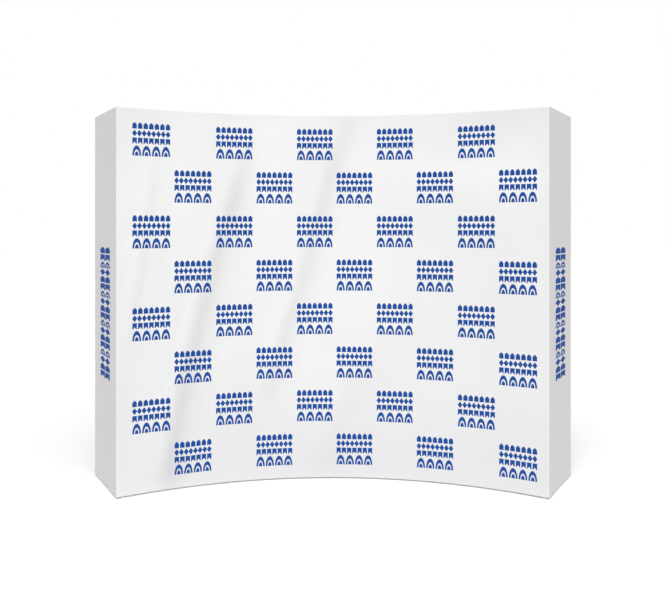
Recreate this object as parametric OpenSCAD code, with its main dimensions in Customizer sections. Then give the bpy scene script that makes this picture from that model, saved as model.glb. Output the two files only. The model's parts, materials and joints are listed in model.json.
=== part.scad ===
// Curved pop-up display backwall, in millimetres.
// A stretch graphic with two flat end panels is held by hook pads on a scissor
// lattice of hubs and crossed tubes, four bays wide and three bays high.
// The wall is an arc: it is hollow towards the front, which is -Y. The floor is Z = 0.

/* [Wall] */
// Height of the top edge of the graphic above the floor
wall_h = 2260; // [2200:5:2320]
// Radius of the front face of the graphic
front_r = 2361; // [2300:1:2450]
// Angle from the middle of the wall to each front corner
half_angle = 31.8; // [30:0.1:33]
// Width of an end panel, from the front corner to its back edge
end_depth = 493; // [480:1:510]
// Gap between the bottom edge of the graphic and the floor
hem_gap = 9; // [8:0.5:11]

/* [Graphic] */
// Thickness of the stretch fabric with its brushed backing
fabric_t = 1.5; // [1:0.1:2]
// Width of the flap of an end panel that turns in behind the back hubs
return_w = 66; // [50:1:72]
// Diameter of a hook pad
pad_d = 46; // [40:1:50]
// Thickness of a hook pad
pad_t = 2.4; // [1.6:0.1:3]
// Depth of the seat that a hook pad is glued into
pad_seat = 0.8; // [0.4:0.1:1]

/* [Hubs] */
// Diameter of a hub
hub_d = 60; // [58:1:64]
// Thickness of a hub
hub_t = 26; // [25:0.5:28]
// Distance from the hub's centre to each tube pin
pin_reach = 19; // [18.5:0.1:19.5]
// Distance of each slot from the hub's centre line, so that crossed tubes pass each other
slot_offset = 7.5; // [7.3:0.1:7.7]
// Diameter of a tube pin
pin_d = 4; // [3.5:0.1:4.5]
// Distance from the graphic's end panel to the centre of the outer front hubs
end_clear = 35; // [34:0.5:38]
// Height of the bottom hubs' centres above the floor
first_row_z = 62; // [62:0.5:64]
// Distance from the top edge of the graphic down to the rim of the top hubs
top_clear = 4; // [3:0.5:10]

/* [Tubes] */
// Outer diameter of a tube
tube_d = 14; // [13:0.1:14]
// Wall thickness of a tube
tube_wall = 1.2; // [0.8:0.1:1.6]
// Length of a tube tip's tongue, from the pin to the shoulder
tongue_l = 18; // [17:0.5:20]
// Thickness of a tube tip's tongue
tongue_t = 7; // [6.6:0.1:7.2]
// Length of a tube tip's plug inside the tube
plug_l = 22; // [15:1:30]

/* [Centre locks] */
// Thickness of the lock arms at their hinge
arm_t = 7; // [6:0.1:7.2]
// Diameter of the catch's cross pin
catch_d = 8; // [7.6:0.1:8.2]
// Diameter of a lock arm's hinge pin
hinge_d = 5; // [4:0.1:5.5]

/* [Feet] */
// Diameter of a foot's pad
foot_d = 28; // [24:1:28]
// Diameter of a foot's stem
stem_d = 8; // [7:0.1:8]

/* [Hidden] */
$fn = 48;
COLUMNS = 5;
ROWS = 4;
HUB_COLOUR = "dimgray";
METAL_COLOUR = "silver";
PIN_COLOUR = "gainsboro";
FABRIC_COLOUR = "whitesmoke";

// The arc. Its centre lies in front of the wall, and the box of the wall is centred on the origin.
back_r = front_r + end_depth;
arc_y = -(front_r * cos(half_angle) + back_r) / 2;
end_lap = asin(fabric_t / front_r);
column_pitch = (half_angle - asin(end_clear / front_r)) / 2;
row_pitch = (wall_h - top_clear - hub_d / 2 - first_row_z) / (ROWS - 1);
graphic_h = wall_h - hem_gap;

// Hubs. The outer face of a hub lies at face_r, and its tubes turn half-way through it.
pad_proud = pad_t - pad_seat;
front_face_r = front_r + fabric_t + pad_proud;
back_face_r = back_r - fabric_t - pad_proud;
front_pin_r = front_face_r + hub_t / 2;
back_pin_r = back_face_r - hub_t / 2;
hub_edge = 3;
slot_w = tongue_t + 0.6;
slot_start = 12;
slot_floor = 6;
pin_l = 22;
pin_inner = 1.5;
pocket_size = [10, 11];
pocket_corner = [13.5, 1];
pocket_floor = 9;
core_d = 9;
core_floor = 9;
cap_line_z = 4;
cap_line = 0.8;
scallop_r = 2.5;
scallop_depth = 1.2;
scallop_start = 6;
scallop_step = 10;
scallop_z = 6.5;
glue_clear = 0.02;
run_clear = 0.05;

// Tubes and their tips
tongue_r = 6;
shoulder_l = 3;
groove_at = 9;
groove_depth = 0.4;
groove_half_w = 1.3;
plug_clear = 0.05;
tip_end = tongue_l + shoulder_l;
half_pitch = column_pitch / 2;
front_half = front_pin_r * sin(half_pitch) - pin_reach * cos(half_pitch);
back_half = back_pin_r * sin(half_pitch) - pin_reach * cos(half_pitch);
bay_depth = (back_pin_r - front_pin_r) * cos(half_pitch);
row_strut_l = norm([front_half + back_half, bay_depth]);
row_pivot = front_half / (front_half + back_half);
column_rise = row_pitch - 2 * pin_reach;
column_strut_l = norm([column_rise, back_pin_r - front_pin_r]);
column_angle_up = atan2(column_rise, back_pin_r - front_pin_r);
rivet_d = 4;
rivet_head_r = 4.5;
rivet_head_h = 2.2;
washer_r = 6;
washer_gap = 2 * slot_offset - tube_d;

// Centre locks
ear_gap = arm_t + 0.6;
ear_t = 4.5;
ear_r = 7.5;
ear_reach = 8;
hook_hinge_r = front_face_r + hub_t + ear_reach;
catch_hinge_r = back_face_r - hub_t - ear_reach;
arm_l = (catch_hinge_r - hook_hinge_r) / 2;
arm_half = 5.5;
arm_web = 2;
arm_ring = 7.2;
arm_bays = 4;
arm_rib = 2;
arm_rim = 1.8;
arm_root = 5;
hook_top = 10;
hook_foot = -7.5;
hook_nose = 12;
hook_back = 18;
hook_taper = 14;
hook_bevel = 4;
thumb_h = 7;
thumb_w = 4;
hook_clear = 0.1;
mouth_spread = 1.2;
hinge_head_r = 4.5;
hinge_head_h = 1.8;
fork_t = 4;
fork_gap = arm_t + 0.6;
fork_w = fork_gap + 2 * fork_t;
fork_back = 40;
fork_slot = 24;
fork_r = 8;
fork_taper = 8;

// Feet
pad_h = 7;
pad_rim = 4;
pad_edge = 1;
collar_r = 8;
socket_r = 9;
socket_bottom = 12.3;
socket_top = first_row_z - hub_d / 2 - 0.5;
socket_bore_l = 16.7;
collar_top = 12;
stem_clear = 0.1;
stem_end = 27;

function column_angle(i) = (i - (COLUMNS - 1) / 2) * column_pitch;
function row_z(r) = first_row_z + r * row_pitch;
// A point at radius r on column i's line, moved x along the wall
function wall_point(r, i, x) = let (a = column_angle(i))
    [r * sin(a) + x * cos(a), arc_y + r * cos(a) - x * sin(a)];
// The six hubs inside the lattice carry the centre locks
function has_lock(i, r) = i > 0 && i < COLUMNS - 1 && r > 0 && r < ROWS - 1;

// Column i's own frame: +X along the wall, +Y straight back through it, origin on the arc's centre
module at_column(i) {
    translate([0, arc_y, 0]) rotate([0, 0, -column_angle(i)]) children();
}

// A hub's own frame: +Z from its outer face into the lattice, +Y up
module at_front_hub(i, r) {
    at_column(i) translate([0, front_face_r, row_z(r)]) rotate([90, 0, 180]) children();
}

module at_back_hub(i, r) {
    at_column(i) translate([0, back_face_r, row_z(r)]) rotate([90, 0, 0]) children();
}

// A strut's own frame: +X from pin to pin, +Z square to the plane that the pair crosses in.
// A rising strut of a row runs from front to back, to the right. A falling one runs from back to front.
module at_row_strut(i, r, from_front) {
    start = wall_point(from_front ? front_pin_r : back_pin_r, i, pin_reach);
    end = wall_point(from_front ? back_pin_r : front_pin_r, i + 1, -pin_reach);
    run = end - start;
    z = row_z(r) + (from_front ? slot_offset : -slot_offset);
    translate([start[0], start[1], z]) rotate([0, 0, atan2(run[1], run[0])]) children();
}

module at_column_strut(i, r, from_front) {
    x = from_front ? -slot_offset : slot_offset;
    start_r = from_front ? front_pin_r : back_pin_r;
    angle = from_front ? column_angle_up : 180 - column_angle_up;
    at_column(i) translate([x, start_r, row_z(r) + pin_reach])
        rotate([90, 0, 90]) rotate([0, 0, angle]) children();
}

// ---- Graphic ----

module front_graphic() {
    span = 2 * (half_angle - end_lap);
    color(FABRIC_COLOUR) translate([0, arc_y, hem_gap])
        rotate_extrude(angle = span, start = 90 - span / 2, $fn = 360)
            translate([front_r, 0]) square([fabric_t, graphic_h]);
}

// The right end panel: a flat side, and a flap that turns in behind the back hubs
module end_panel() {
    color(FABRIC_COLOUR) translate([0, arc_y, hem_gap]) rotate([0, 0, -half_angle]) {
        translate([-fabric_t, front_r, 0]) cube([fabric_t, end_depth, graphic_h]);
        translate([-return_w, back_r - fabric_t, 0]) cube([return_w, fabric_t, graphic_h]);
    }
}

module hook_pad() {
    color("white") translate([0, 0, -pad_proud]) cylinder(d = pad_d, h = pad_t);
}

module front_hook_pads() {
    for (i = [0 : COLUMNS - 1], r = [0 : ROWS - 1]) at_front_hub(i, r) hook_pad();
}

module rear_hook_pads() {
    for (i = [0, COLUMNS - 1], r = [0 : ROWS - 1]) at_back_hub(i, r) hook_pad();
}

// ---- Hubs ----

// One of the four slots, each beside the centre line, open at the rim and at the inner face
module hub_slot() {
    translate([slot_start, -slot_offset - slot_w / 2, slot_floor])
        cube([hub_d, slot_w, hub_t]);
}

// The bore that a tube pin is driven into from the rim
module pin_bore() {
    translate([pin_reach, pin_inner, hub_t / 2]) rotate([90, 0, 0])
        cylinder(d = pin_d, h = hub_d / 2);
}

// A moulded pocket between two slots
module hub_pocket() {
    translate([pocket_corner[0], pocket_corner[1], pocket_floor])
        cube([pocket_size[0], pocket_size[1], hub_t]);
}

// Three scallops in the rim between a slot and a pin bore, to grip the hub by
module rim_scallops() {
    for (n = [0 : 2]) rotate([0, 0, scallop_start + n * scallop_step])
        translate([hub_d / 2 + scallop_r - scallop_depth, 0, scallop_z])
            cylinder(r = scallop_r, h = hub_t);
}

// The two ears that a lock arm hinges between
module lock_ears() {
    for (s = [-1, 1])
        translate([s * (ear_gap + ear_t) / 2, 0, hub_t]) rotate([0, 90, 0])
            linear_extrude(ear_t, center = true) {
                translate([-ear_reach, 0]) circle(r = ear_r);
                translate([-ear_reach, -ear_r]) square([ear_reach + 1, 2 * ear_r]);
            }
}

module lock_hinge_bore(d) {
    translate([0, 0, hub_t + ear_reach]) rotate([0, 90, 0])
        cylinder(d = d, h = ear_gap + 2 * ear_t + 2, center = true);
}

// A hub: a thin outer cap with a seat for a hook pad, and a slotted body behind a groove in the rim.
// A hub with a lock has ears on its inner face, and any other hub has a cored hole there.
module hub(lock) {
    r = hub_d / 2;
    difference() {
        union() {
            rotate_extrude($fn = 96)
                polygon([[0, 0], [r - hub_edge / 2, 0], [r, hub_edge / 2], [r, cap_line_z],
                         [r - cap_line, cap_line_z], [r - cap_line, cap_line_z + cap_line],
                         [r, cap_line_z + cap_line], [r, hub_t - hub_edge],
                         [r - hub_edge, hub_t], [0, hub_t]]);
            if (lock) lock_ears();
        }
        translate([0, 0, -1]) cylinder(d = pad_d + 1, h = pad_seat + 1, $fn = 96);
        for (k = [0 : 3]) rotate([0, 0, 90 * k]) {
            hub_slot();
            pin_bore();
            hub_pocket();
            rim_scallops();
        }
        if (lock) lock_hinge_bore(hinge_d);
        else translate([0, 0, core_floor]) cylinder(d = core_d, h = hub_t);
    }
}

module front_hubs(i) {
    color(HUB_COLOUR)
        for (r = [0 : ROWS - 1]) at_front_hub(i, r) hub(has_lock(i, r));
}

module back_hubs(i) {
    color(HUB_COLOUR)
        for (r = [0 : ROWS - 1]) at_back_hub(i, r) hub(has_lock(i, r));
}

// ---- Pins ----

// A tube pin in its slot, in the hub's frame. Slot k points right, up, left or down.
module tube_pin(k) {
    rotate([0, 0, 90 * k]) translate([pin_reach, pin_inner - 0.5, hub_t / 2])
        rotate([90, 0, 0]) cylinder(d = pin_d, h = pin_l);
}

// The pins of one hub. Its upper slot is empty in the top row, and an outer slot at the ends.
module hub_pins(i, r, right_slot, left_slot) {
    if (i < COLUMNS - 1) tube_pin(right_slot);
    if (i > 0) tube_pin(left_slot);
    if (r < ROWS - 1) tube_pin(1);
    tube_pin(3);
}

module front_hub_pins() {
    color(PIN_COLOUR) for (i = [0 : COLUMNS - 1], r = [0 : ROWS - 1])
        at_front_hub(i, r) hub_pins(i, r, 2, 0);
}

module back_hub_pins() {
    color(PIN_COLOUR) for (i = [0 : COLUMNS - 1], r = [0 : ROWS - 1])
        at_back_hub(i, r) hub_pins(i, r, 0, 2);
}

module lock_hinge_pins() {
    color(PIN_COLOUR) for (i = [0 : COLUMNS - 1], r = [0 : ROWS - 1]) if (has_lock(i, r)) {
        at_front_hub(i, r) lock_hinge_pin();
        at_back_hub(i, r) lock_hinge_pin();
    }
}

module lock_hinge_pin() {
    translate([0, 0, hub_t + ear_reach]) rotate([0, 90, 0])
        headed_pin(hinge_d / 2, ear_gap / 2 + ear_t, hinge_head_r, hinge_head_h);
}

// A round pin with a domed head beyond each end of its grip, centred, along Z
module headed_pin(shank_r, half_grip, head_r, head_h) {
    rotate_extrude()
        polygon([[0, -half_grip - head_h], [head_r / 2, -half_grip - head_h * 0.85],
                 [head_r, -half_grip - head_h * 0.3], [head_r, -half_grip],
                 [shank_r, -half_grip], [shank_r, half_grip],
                 [head_r, half_grip], [head_r, half_grip + head_h * 0.3],
                 [head_r / 2, half_grip + head_h * 0.85], [0, half_grip + head_h]]);
}

// ---- Tubes ----

// The rolled groove that grips a tip's plug
module rolled_groove() {
    r = tube_d / 2;
    rotate_extrude()
        polygon([[r + 1, -groove_half_w], [r, -groove_half_w], [r - groove_depth, -groove_half_w / 3],
                 [r - groove_depth, groove_half_w / 3], [r, groove_half_w], [r + 1, groove_half_w]]);
}

// A tube of a strut of length l, bored for its rivet at pivot_x
module tube(l, pivot_x) {
    tube_l = l - 2 * tip_end;
    difference() {
        translate([tip_end, 0, 0]) rotate([0, 90, 0]) difference() {
            cylinder(d = tube_d, h = tube_l);
            for (z = [groove_at, tube_l - groove_at]) translate([0, 0, z]) rolled_groove();
        }
        translate([tip_end - 1, 0, 0]) rotate([0, 90, 0])
            cylinder(d = tube_d - 2 * tube_wall, h = tube_l + 2);
        translate([pivot_x, 0, 0]) cylinder(d = rivet_d, h = tube_d + 2, center = true);
    }
}

module row_tubes(r) {
    color(METAL_COLOUR) for (i = [0 : COLUMNS - 2]) {
        at_row_strut(i, r, true) tube(row_strut_l, row_strut_l * row_pivot);
        at_row_strut(i, r, false) tube(row_strut_l, row_strut_l * (1 - row_pivot));
    }
}

module column_tubes(i) {
    color(METAL_COLOUR) for (r = [0 : ROWS - 2], from_front = [true, false])
        at_column_strut(i, r, from_front) tube(column_strut_l, column_strut_l / 2);
}

// A moulded tip: a plug in the tube, a shoulder against its end, and a tongue on the pin
module tube_tip() {
    difference() {
        union() {
            cylinder(r = tongue_r, h = tongue_t, center = true);
            translate([0, -tongue_r, -tongue_t / 2])
                cube([tongue_l + 1, 2 * tongue_r, tongue_t]);
            translate([tongue_l, 0, 0]) rotate([0, 90, 0]) cylinder(d = tube_d, h = shoulder_l);
            translate([tongue_l, 0, 0]) rotate([0, 90, 0])
                cylinder(d = tube_d - 2 * tube_wall - 2 * plug_clear, h = shoulder_l + plug_l);
        }
        cylinder(d = pin_d + 2 * run_clear, h = tongue_t + 2, center = true);
    }
}

module tip_pair(l) {
    tube_tip();
    translate([l, 0, 0]) rotate([0, 0, 180]) tube_tip();
}

module row_tube_tips() {
    color(HUB_COLOUR) for (r = [0 : ROWS - 1], i = [0 : COLUMNS - 2], from_front = [true, false])
        at_row_strut(i, r, from_front) tip_pair(row_strut_l);
}

module column_tube_tips() {
    color(HUB_COLOUR) for (i = [0 : COLUMNS - 1], r = [0 : ROWS - 2], from_front = [true, false])
        at_column_strut(i, r, from_front) tip_pair(column_strut_l);
}

// ---- Scissor pivots ----

// A rivet through both tubes of a pair, with a domed head on each side
module pivot_rivet() {
    headed_pin(rivet_d / 2 - glue_clear, slot_offset + tube_d / 2, rivet_head_r, rivet_head_h);
}

module pivot_washer() {
    difference() {
        cylinder(r = washer_r, h = washer_gap, center = true);
        cylinder(d = rivet_d, h = washer_gap + 2, center = true);
    }
}

module at_row_pivots() {
    for (r = [0 : ROWS - 1], i = [0 : COLUMNS - 2])
        at_row_strut(i, r, true) translate([row_strut_l * row_pivot, 0, -slot_offset]) children();
}

module at_column_pivots() {
    for (i = [0 : COLUMNS - 1], r = [0 : ROWS - 2])
        at_column_strut(i, r, true) translate([column_strut_l / 2, 0, slot_offset]) children();
}

module row_pivot_rivets() {
    color(PIN_COLOUR) at_row_pivots() pivot_rivet();
}

module column_pivot_rivets() {
    color(PIN_COLOUR) at_column_pivots() pivot_rivet();
}

module pivot_washers() {
    color("white") {
        at_row_pivots() pivot_washer();
        at_column_pivots() pivot_washer();
    }
}

// ---- Centre locks ----
// Both halves are drawn flat: hinge on the origin, +X along the arm, +Y up.

// The bar of an arm, to x = bar_l, with a sunk web on both sides between cross ribs
module arm_bar(bar_l) {
    first = arm_ring + arm_root;
    step = (bar_l - first - 2 * arm_rib) / arm_bays;
    difference() {
        linear_extrude(arm_t, center = true) {
            circle(r = arm_ring);
            translate([0, -arm_half]) square([bar_l, 2 * arm_half]);
        }
        for (b = [0 : arm_bays - 1], s = [-1, 1])
            translate([first + b * step, arm_rim - arm_half, s > 0 ? arm_t / 2 - arm_web : -arm_t])
                cube([step - arm_rib, 2 * (arm_half - arm_rim), s > 0 ? arm_t : arm_t / 2 + arm_web]);
        cylinder(d = hinge_d + 2 * run_clear, h = arm_t + 2, center = true);
    }
}

// The front half. Its hook opens downwards and drops over the catch's cross pin.
module lock_hook() {
    notch_r = catch_d / 2 + hook_clear;
    head_start = arm_l - hook_back;
    tip = arm_l + hook_nose;
    color(HUB_COLOUR) difference() {
        union() {
            arm_bar(head_start + 1);
            linear_extrude(arm_t, center = true)
                polygon([[head_start - hook_taper, -arm_half], [head_start, hook_foot],
                         [tip - hook_bevel, hook_foot], [tip, hook_foot + hook_bevel],
                         [tip, hook_top - hook_bevel], [tip - hook_bevel, hook_top],
                         [head_start, hook_top], [head_start - thumb_w, hook_top + thumb_h],
                         [head_start - 2 * thumb_w, hook_top + thumb_h],
                         [head_start - hook_taper, arm_half]]);
        }
        linear_extrude(arm_t + 2, center = true) {
            translate([arm_l, 0]) circle(r = notch_r);
            polygon([[arm_l - notch_r, 0], [arm_l + notch_r, 0],
                     [arm_l + notch_r + mouth_spread, hook_foot - 1],
                     [arm_l - notch_r - mouth_spread, hook_foot - 1]]);
        }
    }
}

// The back half. It ends in a fork, and the cross pin sits in the fork's cheeks.
module lock_catch() {
    fork_start = arm_l - fork_back;
    color(HUB_COLOUR) difference() {
        union() {
            arm_bar(fork_start + 2);
            linear_extrude(fork_w, center = true) {
                translate([arm_l, 0]) circle(r = fork_r);
                polygon([[fork_start, -arm_half], [fork_start + fork_taper, -fork_r],
                         [arm_l, -fork_r], [arm_l, fork_r],
                         [fork_start + fork_taper, fork_r], [fork_start, arm_half]]);
            }
        }
        translate([arm_l - fork_slot, -2 * fork_r, -fork_gap / 2])
            cube([2 * fork_slot, 4 * fork_r, fork_gap]);
        translate([arm_l, 0, 0]) cylinder(d = catch_d, h = fork_w + 2, center = true);
    }
    color(PIN_COLOUR) translate([arm_l, 0, 0])
        cylinder(d = catch_d - 2 * glue_clear, h = fork_w, center = true);
}

module place_hook(i, r) {
    at_column(i) translate([0, hook_hinge_r, row_z(r)]) rotate([90, 0, 90]) lock_hook();
}

module place_catch(i, r) {
    at_column(i) translate([0, catch_hinge_r, row_z(r)]) rotate([90, 0, -90]) lock_catch();
}

// ---- Feet ----

// The frame of the lower pin of a bottom hub, with +Z up
module at_foot(i, front) {
    at_column(i)
        translate([front ? slot_offset : -slot_offset, front ? front_pin_r : back_pin_r, 0])
            children();
}

// A socket on the lower pin of a bottom hub, with a blind bore for a foot's stem
module foot_socket() {
    pin_z = first_row_z - pin_reach;
    difference() {
        union() {
            translate([0, 0, pin_z]) rotate([0, 90, 0])
                cylinder(r = tongue_r, h = tongue_t, center = true);
            translate([-tongue_t / 2, -tongue_r, socket_top - 1])
                cube([tongue_t, 2 * tongue_r, pin_z - socket_top + 1]);
            translate([0, 0, socket_bottom])
                cylinder(r = socket_r, h = socket_top - socket_bottom);
        }
        translate([0, 0, pin_z]) rotate([0, 90, 0])
            cylinder(d = pin_d + 2 * run_clear, h = tongue_t + 2, center = true);
        translate([0, 0, socket_bottom - 1])
            cylinder(d = stem_d + 2 * stem_clear, h = socket_bore_l + 1);
    }
}

module foot_sockets(front) {
    color(HUB_COLOUR) for (i = [0 : COLUMNS - 1]) at_foot(i, front) foot_socket();
}

// A levelling foot: a pad and a stem, with a hexagon between them for a spanner
module foot(i, front) {
    r = foot_d / 2;
    color("lightgray") at_foot(i, front) {
        rotate_extrude()
            polygon([[0, 0], [r - pad_edge, 0], [r, pad_edge], [r, pad_rim], [collar_r + 1, pad_h],
                     [stem_d / 2, pad_h], [stem_d / 2, stem_end - pad_edge],
                     [stem_d / 2 - pad_edge, stem_end], [0, stem_end]]);
        translate([0, 0, pad_h - 1]) cylinder(r = collar_r, h = collar_top - pad_h + 1, $fn = 6);
    }
}

front_graphic();
mirror([1, 0, 0]) end_panel();  // left_end_panel
end_panel();  // right_end_panel
front_hook_pads();
rear_hook_pads();
front_hubs(0);  // front_hubs_left_end
front_hubs(1);  // front_hubs_left
front_hubs(2);  // front_hubs_centre
front_hubs(3);  // front_hubs_right
front_hubs(4);  // front_hubs_right_end
back_hubs(0);  // back_hubs_left_end
back_hubs(1);  // back_hubs_left
back_hubs(2);  // back_hubs_centre
back_hubs(3);  // back_hubs_right
back_hubs(4);  // back_hubs_right_end
row_tubes(0);  // row_tubes_bottom
row_tubes(1);  // row_tubes_lower
row_tubes(2);  // row_tubes_upper
row_tubes(3);  // row_tubes_top
column_tubes(0);  // column_tubes_left_end
column_tubes(1);  // column_tubes_left
column_tubes(2);  // column_tubes_centre
column_tubes(3);  // column_tubes_right
column_tubes(4);  // column_tubes_right_end
row_tube_tips();
column_tube_tips();
row_pivot_rivets();
column_pivot_rivets();
pivot_washers();
front_hub_pins();
back_hub_pins();
lock_hinge_pins();
place_hook(1, 1);  // lock_hook_left_lower
place_hook(2, 1);  // lock_hook_centre_lower
place_hook(3, 1);  // lock_hook_right_lower
place_hook(1, 2);  // lock_hook_left_upper
place_hook(2, 2);  // lock_hook_centre_upper
place_hook(3, 2);  // lock_hook_right_upper
place_catch(1, 1);  // lock_catch_left_lower
place_catch(2, 1);  // lock_catch_centre_lower
place_catch(3, 1);  // lock_catch_right_lower
place_catch(1, 2);  // lock_catch_left_upper
place_catch(2, 2);  // lock_catch_centre_upper
place_catch(3, 2);  // lock_catch_right_upper
foot_sockets(true);  // foot_sockets_front
foot_sockets(false);  // foot_sockets_back
foot(0, true);  // foot_front_left_end
foot(1, true);  // foot_front_left
foot(2, true);  // foot_front_centre
foot(3, true);  // foot_front_right
foot(4, true);  // foot_front_right_end
foot(0, false);  // foot_back_left_end
foot(1, false);  // foot_back_left
foot(2, false);  // foot_back_centre
foot(3, false);  // foot_back_right
foot(4, false);  // foot_back_right_end
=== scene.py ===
"""Curved pop-up display wall: a printed stretch graphic on a scissor lattice of hubs and crossed tubes.

Everything is in metres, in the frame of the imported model: the floor is Z = 0 and the viewer stands at -Y.
"""
import sys

import json
import logging
import math
from dataclasses import dataclass, field
from enum import Enum
from typing import Any, Callable, Iterable, Optional, Sequence, Union

import bmesh
import bpy
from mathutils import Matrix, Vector


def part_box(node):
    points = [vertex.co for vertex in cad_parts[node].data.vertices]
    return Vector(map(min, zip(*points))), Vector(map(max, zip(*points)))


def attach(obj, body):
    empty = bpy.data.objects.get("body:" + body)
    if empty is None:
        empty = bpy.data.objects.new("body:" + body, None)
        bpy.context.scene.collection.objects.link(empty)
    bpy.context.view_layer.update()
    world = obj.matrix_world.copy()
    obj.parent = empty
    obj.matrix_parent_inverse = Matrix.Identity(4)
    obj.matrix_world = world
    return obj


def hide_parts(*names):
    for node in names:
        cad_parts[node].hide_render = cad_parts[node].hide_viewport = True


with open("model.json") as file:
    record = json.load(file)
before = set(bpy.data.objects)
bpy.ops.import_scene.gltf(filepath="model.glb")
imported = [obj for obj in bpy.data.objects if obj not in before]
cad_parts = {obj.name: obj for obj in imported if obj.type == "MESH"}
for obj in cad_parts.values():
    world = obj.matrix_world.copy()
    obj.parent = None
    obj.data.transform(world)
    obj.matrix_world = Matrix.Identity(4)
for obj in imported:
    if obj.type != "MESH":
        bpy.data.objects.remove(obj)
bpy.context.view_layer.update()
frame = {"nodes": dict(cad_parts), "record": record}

LOG = logging.getLogger("display_wall")
MM = 0.001
IMAGE_SIZE = (666, 607)


# ---------------------------------------------------------------- sizes and places


class Side(Enum):
    """The two ends of the wall, as the viewer sees them."""

    LEFT = -1
    RIGHT = 1

    @property
    def word(self) -> str:
        """The side's name in the names of nodes and pieces."""
        return self.name.lower()


@dataclass(frozen=True)
class WallPlan:
    """The wall's driving sizes, and the places that follow from them."""

    height: float = 2.260
    front_radius: float = 2.361
    half_angle: float = math.radians(31.8)
    end_depth: float = 0.493
    hem_gap: float = 0.009
    cloth: float = 0.0015
    flap: float = 0.066
    hub_diameter: float = 0.060
    end_clear: float = 0.035
    first_row: float = 0.062
    top_clear: float = 0.004
    columns: int = 5
    rows: int = 4
    tolerance: float = 0.0005

    @property
    def back_radius(self) -> float:
        """Radius of the back edges of the end panels."""
        return self.front_radius + self.end_depth

    @property
    def arc_y(self) -> float:
        """Y of the arc's centre."""
        return -(self.front_radius * math.cos(self.half_angle) + self.back_radius) / 2

    @property
    def half_length(self) -> float:
        """Length of the front along its arc, from the middle to a corner."""
        return self.front_radius * self.half_angle

    @property
    def column_pitch(self) -> float:
        """Angle between two columns of hubs."""
        return (self.half_angle - math.asin(self.end_clear / self.front_radius)) * 2 / (self.columns - 1)

    @property
    def row_pitch(self) -> float:
        """Height between two rows of hubs."""
        top_row = self.height - self.top_clear - self.hub_diameter / 2
        return (top_row - self.first_row) / (self.rows - 1)

    def column_angle(self, column: int) -> float:
        """Angle of a column of hubs, from the middle of the wall."""
        return (column - (self.columns - 1) / 2) * self.column_pitch

    def hub_places(self) -> list[tuple[float, float]]:
        """The places of the front hubs.

        Returns:
            Arc length and height of each hub's centre.
        """
        return [
            (self.column_angle(column) * self.front_radius, self.first_row + row * self.row_pitch)
            for column in range(self.columns)
            for row in range(self.rows)
        ]

    def on_front(self, along: float, z: float, proud: float = 0.0) -> Vector:
        """A point on the front face.

        Args:
            along: Arc length from the middle of the wall, to the viewer's right.
            z: Height above the floor.
            proud: Distance in front of the face, towards the viewer.

        Returns:
            The point.
        """
        angle = along / self.front_radius
        radius = self.front_radius - proud
        return Vector((radius * math.sin(angle), self.arc_y + radius * math.cos(angle), z))

    def on_end(self, side: Side, depth: float, z: float, proud: float = 0.0) -> Vector:
        """A point on the outside of an end panel.

        Args:
            side: Which end of the wall.
            depth: Distance behind the front corner.
            z: Height above the floor.
            proud: Distance outside the panel.

        Returns:
            The point.
        """
        radius = self.front_radius + depth
        x = radius * math.sin(self.half_angle) + proud * math.cos(self.half_angle)
        y = self.arc_y + radius * math.cos(self.half_angle) - proud * math.sin(self.half_angle)
        return Vector((side.value * x, y, z))

    def check(self) -> None:
        """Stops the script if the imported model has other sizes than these."""
        low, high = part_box("front_graphic")
        _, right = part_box("right_end_panel")
        wanted = {
            "hem_gap": (low.z, self.hem_gap),
            "height": (high.z, self.height),
            "front_radius": (high.y, self.arc_y + self.front_radius + self.cloth),
            "back_radius": (right.x, self.back_radius * math.sin(self.half_angle)),
        }
        for name, (there, here) in wanted.items():
            if abs(there - here) > self.tolerance:
                raise ValueError(f"{name}: {there:.4f} in the packed model, {here:.4f} here")


# ---------------------------------------------------------------- shader maths


CLOTH_MAP = "cloth"
# Attribute that holds the painted light and shade of the front's folds, swells and corners
PAINTED_SHADING = "painted_shading"

Number = Union[float, "Value"]


@dataclass(frozen=True)
class Value:
    """A number that a shader node gives, with arithmetic that adds Math nodes."""

    graph: "Tree"
    socket: bpy.types.NodeSocket

    def __add__(self, other: Number) -> "Value":
        """The sum."""
        return self.graph.math("ADD", self, other)

    __radd__ = __add__

    def __mul__(self, other: Number) -> "Value":
        """The product."""
        return self.graph.math("MULTIPLY", self, other)

    __rmul__ = __mul__

    def __sub__(self, other: Number) -> "Value":
        """The difference."""
        return self.graph.math("SUBTRACT", self, other)

    def __rsub__(self, other: Number) -> "Value":
        """The difference, from a plain number."""
        return self.graph.math("SUBTRACT", other, self)

    def __truediv__(self, other: Number) -> "Value":
        """The quotient."""
        return self.graph.math("DIVIDE", self, other)

    def __rtruediv__(self, other: Number) -> "Value":
        """The quotient of a plain number by this one."""
        return self.graph.math("DIVIDE", other, self)

    def __abs__(self) -> "Value":
        """The number without its sign."""
        return self.graph.math("ABSOLUTE", self)

    def at_most(self, other: Number) -> "Value":
        """The smaller of the two."""
        return self.graph.math("MINIMUM", self, other)

    def at_least(self, other: Number) -> "Value":
        """The larger of the two."""
        return self.graph.math("MAXIMUM", self, other)

    def clamp(self) -> "Value":
        """The number held between 0 and 1."""
        return self.at_least(0.0).at_most(1.0)

    def sin(self) -> "Value":
        """The sine."""
        return self.graph.math("SINE", self)

    def sqrt(self) -> "Value":
        """The square root."""
        return self.graph.math("SQRT", self)

    def fract(self) -> "Value":
        """What is left above the next lower whole number."""
        return self.graph.math("FRACT", self)

    def floor(self) -> "Value":
        """The next lower whole number."""
        return self.graph.math("FLOOR", self)

    def above(self, other: Number) -> "Value":
        """1 where this is greater than the other, and else 0."""
        return self.graph.math("GREATER_THAN", self, other)

    def below(self, other: Number) -> "Value":
        """1 where this is less than the other, and else 0."""
        return self.graph.math("LESS_THAN", self, other)


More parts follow.
